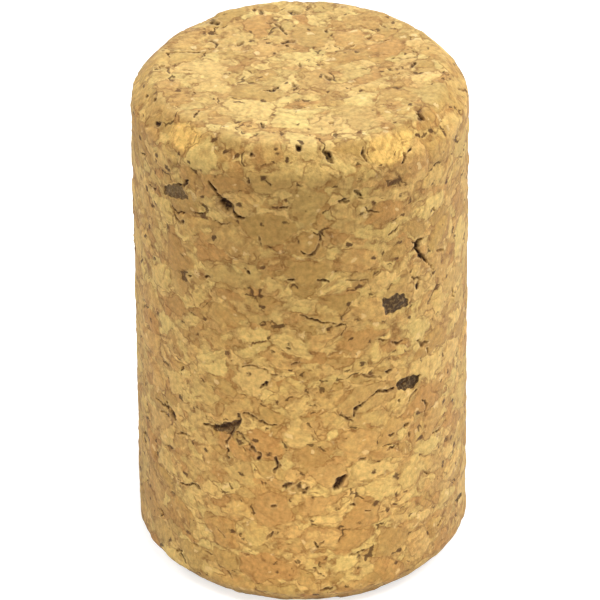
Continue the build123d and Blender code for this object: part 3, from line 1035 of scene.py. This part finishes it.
# The body
@dataclass
class CorkBody:
    """The stopper's body: the ground blank, its relief and its finish."""

    section: GroundSection
    weathering: Weathering
    finish: AgglomeratedCork
    # The mesh: points round the wall, the distance up it, and how near a mark each halving of faces starts
    columns: int = 260
    step: float = 0.29
    refine_reaches: tuple[float, ...] = (0.42, 0.24)
    # The relief: granules spring back by a few hundredths of a millimetre after grinding
    level_difference: float = 0.05
    seam_depth: float = 0.06
    seam_slope: Ramp = Ramp(0.0, 0.3)
    mean_fullness: float = 0.7
    crevice_depth: float = 0.12
    # Soft and hard cork grind down unevenly, so the surface also rolls by a tenth of a millimetre
    waviness: float = 0.13
    waves: Mottle = Mottle(0.9, 3.0)
    # How far up and down the wall, from each end, the wall's painted warm light fades in
    end_edge: float = 0.4
    # The layout for baking: the room round the wall and the ends, as a share of the sheet
    sheet_margin: float = 0.01
    end_gap: float = 0.1

    def build(self) -> bpy.types.Object:
        """Makes the body, in place of the CAD node.

        Returns:
            The finished piece.
        """
        mesh = self.blank()
        self.refine(mesh)
        self.record_fields(mesh)
        self.unwrap(mesh)
        piece = bpy.data.objects.new("cork_body", mesh)
        bpy.context.scene.collection.objects.link(piece)
        self.carve(piece)
        piece.data.materials.append(self.finish.build())
        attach(piece, BODY)
        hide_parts(NODE)
        log.info("cork body: %d faces", len(piece.data.polygons))
        return piece

    def blank(self) -> bpy.types.Mesh:
        """The plain ground body: rings up the section, with a disc of squares in each end.

        Returns:
            A closed mesh whose faces carry their side in "side": 0 on the wall, 1 on top and 2 below.
        """
        outline = self.section.outline(self.step)
        angles = 2 * math.pi * np.arange(self.columns) / self.columns - math.pi / 4
        around = np.stack([np.cos(angles), np.sin(angles), np.ones(self.columns)], axis=1)
        points = list(np.concatenate([around * (radius, radius, height) for radius, height in outline]))
        faces = []
        for row in range(len(outline) - 1):
            low, high = row * self.columns, (row + 1) * self.columns
            for column in range(self.columns):
                right = (column + 1) % self.columns
                faces.append((low + column, low + right, high + right, high + column))
        sides = [0] * len(faces)
        top = self.disc((len(outline) - 1) * self.columns, *outline[-1], points)
        base = [face[::-1] for face in self.disc(0, *outline[0], points)]
        for side, squares in ((1, top), (2, base)):
            faces += squares
            sides += [side] * len(squares)
        mesh = bpy.data.meshes.new("cork_body")
        mesh.from_pydata([tuple(p * MM) for p in points], [], faces)
        mesh.attributes.new("side", "INT", "FACE").data.foreach_set("value", sides)
        mesh.shade_smooth()
        return mesh

    def disc(
        self, ring: int, radius: float, height: float, points: list[np.ndarray]
    ) -> list[tuple[int, ...]]:
        """Fills an end with squares that are bent to the round rim.

        Args:
            ring: Number of the rim's first point.
            radius: The rim's radius.
            height: The end's height.
            points: All the points so far, which the disc's own are added to.

        Returns:
            The disc's faces, facing up.
        """
        count = self.columns // 4
        grid = np.zeros((count + 1, count + 1), int)
        for i, j in np.ndindex(grid.shape):
            across, back = 2 * i / count - 1, 2 * j / count - 1
            reach = max(abs(across), abs(back))
            if reach == 0:
                angle = 0.0
            elif abs(across) >= abs(back):
                angle = math.pi / 4 * back / across + (0 if across > 0 else math.pi)
            else:
                angle = math.pi / 2 - math.pi / 4 * across / back + (0 if back > 0 else math.pi)
            if reach == 1:
                grid[i, j] = ring + round((angle + math.pi / 4) * self.columns / (2 * math.pi)) % self.columns
            else:
                grid[i, j] = len(points)
                out = reach * radius
                points.append(np.array([out * math.cos(angle), out * math.sin(angle), height]))
        corners = np.stack([grid[:-1, :-1], grid[1:, :-1], grid[1:, 1:], grid[:-1, 1:]], axis=-1)
        return [tuple(square) for square in corners.reshape(-1, 4).tolist()]

    def refine(self, mesh: bpy.types.Mesh) -> None:
        """Halves the faces on and beside the marks, as often as there are reaches.

        Args:
            mesh: The blank, changed in place.
        """
        for reach in self.refine_reaches:
            fields = self.weathering.fields(self.places(mesh))
            sharp = [fields[kind.value] for kind in Kind if kind is not Kind.PALE]
            near = np.maximum.reduce(sharp) > -reach * 2
            bm = bmesh.new()
            bm.from_mesh(mesh)
            bm.verts.ensure_lookup_table()
            edges = {e for f in bm.faces if any(near[v.index] for v in f.verts) for e in f.edges}
            bmesh.ops.subdivide_edges(bm, edges=list(edges), cuts=1, use_grid_fill=True)
            bm.to_mesh(mesh)
            bm.free()
        log.info("blank refined near %d marks: %d faces", len(self.weathering.marks), len(mesh.polygons))

    def places(self, mesh: bpy.types.Mesh) -> np.ndarray:
        """Where the mesh's points are.

        Args:
            mesh: The mesh.

        Returns:
            A row for each point, in millimetres.
        """
        flat = np.empty(len(mesh.vertices) * 3)
        mesh.vertices.foreach_get("co", flat)
        return flat.reshape(-1, 3) / MM

    def record_fields(self, mesh: bpy.types.Mesh) -> None:
        """Keeps each point's ground place and its marks as attributes, for the relief and the finish.

        Args:
            mesh: The refined blank.
        """
        places = self.places(mesh)
        mesh.attributes.new("place", "FLOAT_VECTOR", "POINT").data.foreach_set("vector", places.ravel())
        # How much of the wall's painted warm light each point takes: none at the ends
        from_end = self.section.length / 2 - np.abs(places[:, 2] - self.section.length / 2)
        ground = {"ground": np.clip(from_end / self.end_edge, 0, 1)}
        for name, values in (self.weathering.fields(places) | ground).items():
            mesh.attributes.new(name, "FLOAT", "POINT").data.foreach_set("value", values)

    def unwrap(self, mesh: bpy.types.Mesh) -> None:
        """Lays the wall out as a rectangle with the two ends below it.

        Args:
            mesh: The refined blank.
        """
        places = self.places(mesh)
        outline = self.section.outline(self.step)
        climb = np.interp(places[:, 2], outline[:, 1], distances_along(outline))
        turn = np.arctan2(places[:, 0], -places[:, 1])
        margin = self.sheet_margin
        scale = (1 - 2 * margin) / (2 * math.pi * self.section.radius)
        disc_room = self.section.radius * scale
        end_middles = {1: margin + disc_room, 2: margin + (3 + self.end_gap) * disc_room}
        wall_floor = margin * 2 + 2 * disc_room
        sides = np.empty(len(mesh.polygons), int)
        mesh.attributes["side"].data.foreach_get("value", sides)
        corners = np.zeros((len(mesh.loops), 2))
        for face, side in zip(mesh.polygons, sides.tolist()):
            spots = list(face.vertices)
            loops = list(face.loop_indices)
            if side:
                mirror = 1 if side == 1 else -1
                corners[loops, 0] = end_middles[side] + mirror * places[spots, 0] * scale
                corners[loops, 1] = margin + disc_room + places[spots, 1] * scale
            else:
                angles = turn[spots]
                if angles.max() - angles.min() > math.pi:
                    angles = np.where(angles < 0, angles + 2 * math.pi, angles)
                corners[loops, 0] = margin + (angles + math.pi) * self.section.radius * scale
                corners[loops, 1] = wall_floor + climb[spots] * scale
        mesh.uv_layers.new(name="OFBake").data.foreach_set("uv", corners.ravel())

    def carve(self, piece: bpy.types.Object) -> None:
        """Moves the surface in and out: granules stand a little high or low, seams and gaps are sunk.

        Args:
            piece: The body, whose mesh is replaced by the carved one.
        """
        tree = bpy.data.node_groups.new("cork_relief", "GeometryNodeTree")
        for way in ("INPUT", "OUTPUT"):
            tree.interface.new_socket("Geometry", in_out=way, socket_type="NodeSocketGeometry")
        add = partial(add_node, tree)
        blank = add("NodeGroupInput").outputs[0]
        place = {"Name": "place"}
        place = add("GeometryNodeInputNamedAttribute", place, data_type="FLOAT_VECTOR").outputs[0]
        cut = add("GeometryNodeInputNamedAttribute", {"Name": "cut"}, data_type="FLOAT").outputs[0]
        granules = self.finish.pattern.build(tree, place)
        chance = add("FunctionNodeSeparateColor", {"Color": granules.chance}).outputs["Blue"]
        levels = Ramp(0.0, 1.0, -self.level_difference, self.level_difference)
        level = add("ShaderNodeMapRange", levels.sockets(chance)).outputs[0]
        raised = add("ShaderNodeMath", {0: level, 1: self.seam_depth}, operation="ADD").outputs[0]
        inside = add("ShaderNodeMapRange", self.seam_slope.sockets(granules.seam), **SMOOTH).outputs[0]
        height = add("ShaderNodeMath", {0: raised, 1: inside}, operation="MULTIPLY").outputs[0]
        wave = add("ShaderNodeTexNoise", self.waves.sockets(place)).outputs[0]
        # The middle of the relief lies on the ground surface
        middle = self.seam_depth * self.mean_fullness + self.waviness / 2
        height = add("ShaderNodeMath", {0: height, 1: middle}, operation="SUBTRACT").outputs[0]
        for cause, amount in ((wave, self.waviness), (granules.crevice, -self.crevice_depth), (cut, -1.0)):
            height = {0: cause, 1: amount, 2: height}
            height = add("ShaderNodeMath", height, operation="MULTIPLY_ADD").outputs[0]
        metres = add("ShaderNodeMath", {0: height, 1: MM}, operation="MULTIPLY").outputs[0]
        normal = add("GeometryNodeInputNormal").outputs[0]
        offset = add("ShaderNodeVectorMath", {0: normal, "Scale": metres}, operation="SCALE").outputs[0]
        moved = add("GeometryNodeSetPosition", {"Geometry": blank, "Offset": offset}).outputs[0]
        add("NodeGroupOutput", {0: moved})
        piece.modifiers.new("relief", "NODES").node_group = tree
        shaped = piece.evaluated_get(bpy.context.evaluated_depsgraph_get())
        carved = bpy.data.meshes.new_from_object(shaped)
        piece.modifiers.clear()
        piece.data = carved
        carved.name = "cork_body"
        bpy.data.node_groups.remove(tree)


# The studio
@dataclass(frozen=True)
class MattPaper:
    """Uncoated white paper, pressed smooth.

    Its fibres scatter light with no gloss. A camera sees it burnt out, all but the stopper's shadow.
    """

    fibre: str = "#c4c4c4"
    burnt_out: str = "#ffffff"
    glow: float = 0.65

    def build(self) -> bpy.types.Material:
        """Makes the material.

        Returns:
            The floor's finish.
        """
        paper = bpy.data.materials.new("matt_white_paper")
        paper.use_nodes = True
        tree = paper.node_tree
        tree.nodes.clear()
        add = partial(add_node, tree)
        seen = add("ShaderNodeLightPath").outputs["Is Camera Ray"]
        matt = add("ShaderNodeBsdfDiffuse", {"Color": linear(self.fibre)}).outputs[0]
        glow = add("ShaderNodeEmission", {"Color": linear(self.burnt_out), "Strength": self.glow}).outputs[0]
        lit = add("ShaderNodeAddShader", {0: matt, 1: glow}).outputs[0]
        shown = add("ShaderNodeMixShader", {0: seen, 1: matt, 2: lit}).outputs[0]
        add("ShaderNodeOutputMaterial", {"Surface": shown})
        return paper


@dataclass(frozen=True)
class Softbox:
    """A round soft lamp: its place and width in metres, its power in watts, and its tint."""

    name: str
    place: tuple[float, float, float]
    width: float
    power: float
    tint: str = "#ffffff"

    def hang(self, target: Vector) -> None:
        """Makes the lamp and turns it to the stopper.

        Args:
            target: What it shines at, in metres.
        """
        lamp = bpy.data.lights.new(self.name, "AREA")
        lamp.shape = "DISK"
        lamp.size = self.width
        lamp.energy = self.power
        lamp.color = linear(self.tint)[:3]
        holder = bpy.data.objects.new(self.name, lamp)
        holder.location = self.place
        holder.rotation_euler = (target - Vector(self.place)).to_track_quat("-Z", "Y").to_euler()
        holder.visible_camera = False
        bpy.context.scene.collection.objects.link(holder)


@dataclass(frozen=True)
class Studio:
    """The pale floor, the soft lamps and the camera."""

    # Three strong lamps above, two faint warm ones low to the sides, and one on the floor in front
    lamps: tuple[Softbox, ...] = (
        Softbox("overhead_softbox", (0.05, -0.18, 0.58), 0.30, 1.55),
        Softbox("high_left_softbox", (-0.40, 0.10, 0.40), 0.30, 1.8),
        Softbox("high_right_softbox", (0.40, 0.10, 0.40), 0.30, 2.7),
        Softbox("low_left_softbox", (-0.45, -0.15, 0.15), 0.25, 0.31, "#fff8ec"),
        Softbox("low_right_softbox", (0.45, -0.15, 0.10), 0.25, 0.42, "#fff8ec"),
        Softbox("floor_front_softbox", (0.0, -0.030, 0.002), 0.03, 0.0058, "#fff8ec"),
    )
    lamp_target: tuple[float, float, float] = (0.0, 0.0, 0.019)
    room: str = "#ffffff"
    room_strength: float = 0.15
    floor_width: float = 6.0
    paper: MattPaper = MattPaper()
    # The camera: degrees and millimetres, and where the photograph's axis meets it, in pixels
    elevation: float = 31.54
    distance: float = 471.7
    lens: float = 391.07
    sensor_width: float = 36.0
    roll: float = 0.41
    photo_width: int = 600
    middle: tuple[float, float] = (301.27, 299.25)
    sight: tuple[float, float] = (0.01, 20.0)

    def build(self, aim: Vector) -> None:
        """Sets the stopper's surroundings.

        Args:
            aim: The middle of the stopper, in metres.
        """
        self.lay_floor()
        self.light()
        self.set_camera(aim)
        bpy.context.scene.view_settings.view_transform = "Standard"
        log.info("studio: floor, %d lamps and camera", len(self.lamps))

    def lay_floor(self) -> None:
        """Lays a sheet of white paper under the stopper."""
        half = self.floor_width / 2
        corners = [(-half, -half, 0), (half, -half, 0), (half, half, 0), (-half, half, 0)]
        mesh = bpy.data.meshes.new("floor")
        mesh.from_pydata(corners, [], [(0, 1, 2, 3)])
        floor = bpy.data.objects.new("floor", mesh)
        bpy.context.scene.collection.objects.link(floor)
        mesh.materials.append(self.paper.build())

    def light(self) -> None:
        """A dim white room, seen as plain white, with its soft lamps."""
        world = bpy.data.worlds.new("white_room")
        bpy.context.scene.world = world
        world.use_nodes = True
        tree = world.node_tree
        tree.nodes.clear()
        add = partial(add_node, tree)
        white = linear(self.room)
        seen = add("ShaderNodeLightPath").outputs["Is Camera Ray"]
        walls = add("ShaderNodeBackground", {"Color": white, "Strength": self.room_strength}).outputs[0]
        backdrop = add("ShaderNodeBackground", {"Color": white, "Strength": 1.0}).outputs[0]
        shown = add("ShaderNodeMixShader", {0: seen, 1: walls, 2: backdrop}).outputs[0]
        add("ShaderNodeOutputWorld", {"Surface": shown})
        for lamp in self.lamps:
            lamp.hang(Vector(self.lamp_target))

    def set_camera(self, aim: Vector) -> None:
        """Puts the camera where the photograph was taken from.

        Args:
            aim: The middle of the stopper, in metres.
        """
        camera = bpy.data.cameras.new("camera")
        camera.sensor_width = self.sensor_width
        camera.lens = self.lens
        camera.shift_x = (self.photo_width / 2 - self.middle[0]) / self.photo_width
        camera.shift_y = (self.middle[1] - self.photo_width / 2) / self.photo_width
        camera.clip_start, camera.clip_end = self.sight
        holder = bpy.data.objects.new("camera", camera)
        lift = math.radians(self.elevation)
        back = Vector((0, -math.cos(lift), math.sin(lift)))
        facing = (-back).to_track_quat("-Z", "Y").to_matrix().to_4x4()
        rolled = facing @ Matrix.Rotation(math.radians(-self.roll), 4, "Z")
        holder.matrix_world = Matrix.Translation(aim + back * self.distance * MM) @ rolled
        bpy.context.scene.collection.objects.link(holder)
        bpy.context.scene.camera = holder


def all_marks(section: GroundSection) -> tuple[Mark, ...]:
    """Gathers the marks of every side. The far side and the base, which nobody has seen, get the near
    side's and the top's again, turned round and upside down.

    Args:
        section: The stopper's section.

    Returns:
        The marks.
    """
    top = tuple(replace(mark, side=Side.TOP) for mark in TOP_MARKS)
    far_spread, chamfer_room, rim_room = 1.06, 2.5, 1.2
    far = tuple(
        replace(mark, points=tuple((180 + far_spread * turn, section.length - z) for turn, z in mark.points))
        for mark in WALL_MARKS
        if all(chamfer_room < z < section.length - chamfer_room for _, z in mark.points)
    )
    base = tuple(
        replace(mark, side=Side.BASE, points=tuple((-y, x) for x, y in mark.points))
        for mark in TOP_MARKS
        if all(math.hypot(x, y) < section.radius - section.base_chamfer[0] - rim_room for x, y in mark.points)
    )
    return WALL_MARKS + top + far + base


def main() -> None:
    """Builds the stopper and its studio."""
    logging.basicConfig(level=logging.INFO, format="%(message)s")
    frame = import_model()
    log.info("frame: %d node", len(frame["nodes"]))
    low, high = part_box(NODE)
    section = GroundSection(radius=(high[0] - low[0]) / 2 / MM, length=(high[2] - low[2]) / MM)
    CorkBody(section, Weathering(section, all_marks(section)), AgglomeratedCork()).build()
    Studio().build((Vector(low) + Vector(high)) / 2)


if __name__ == "__main__":
    main()
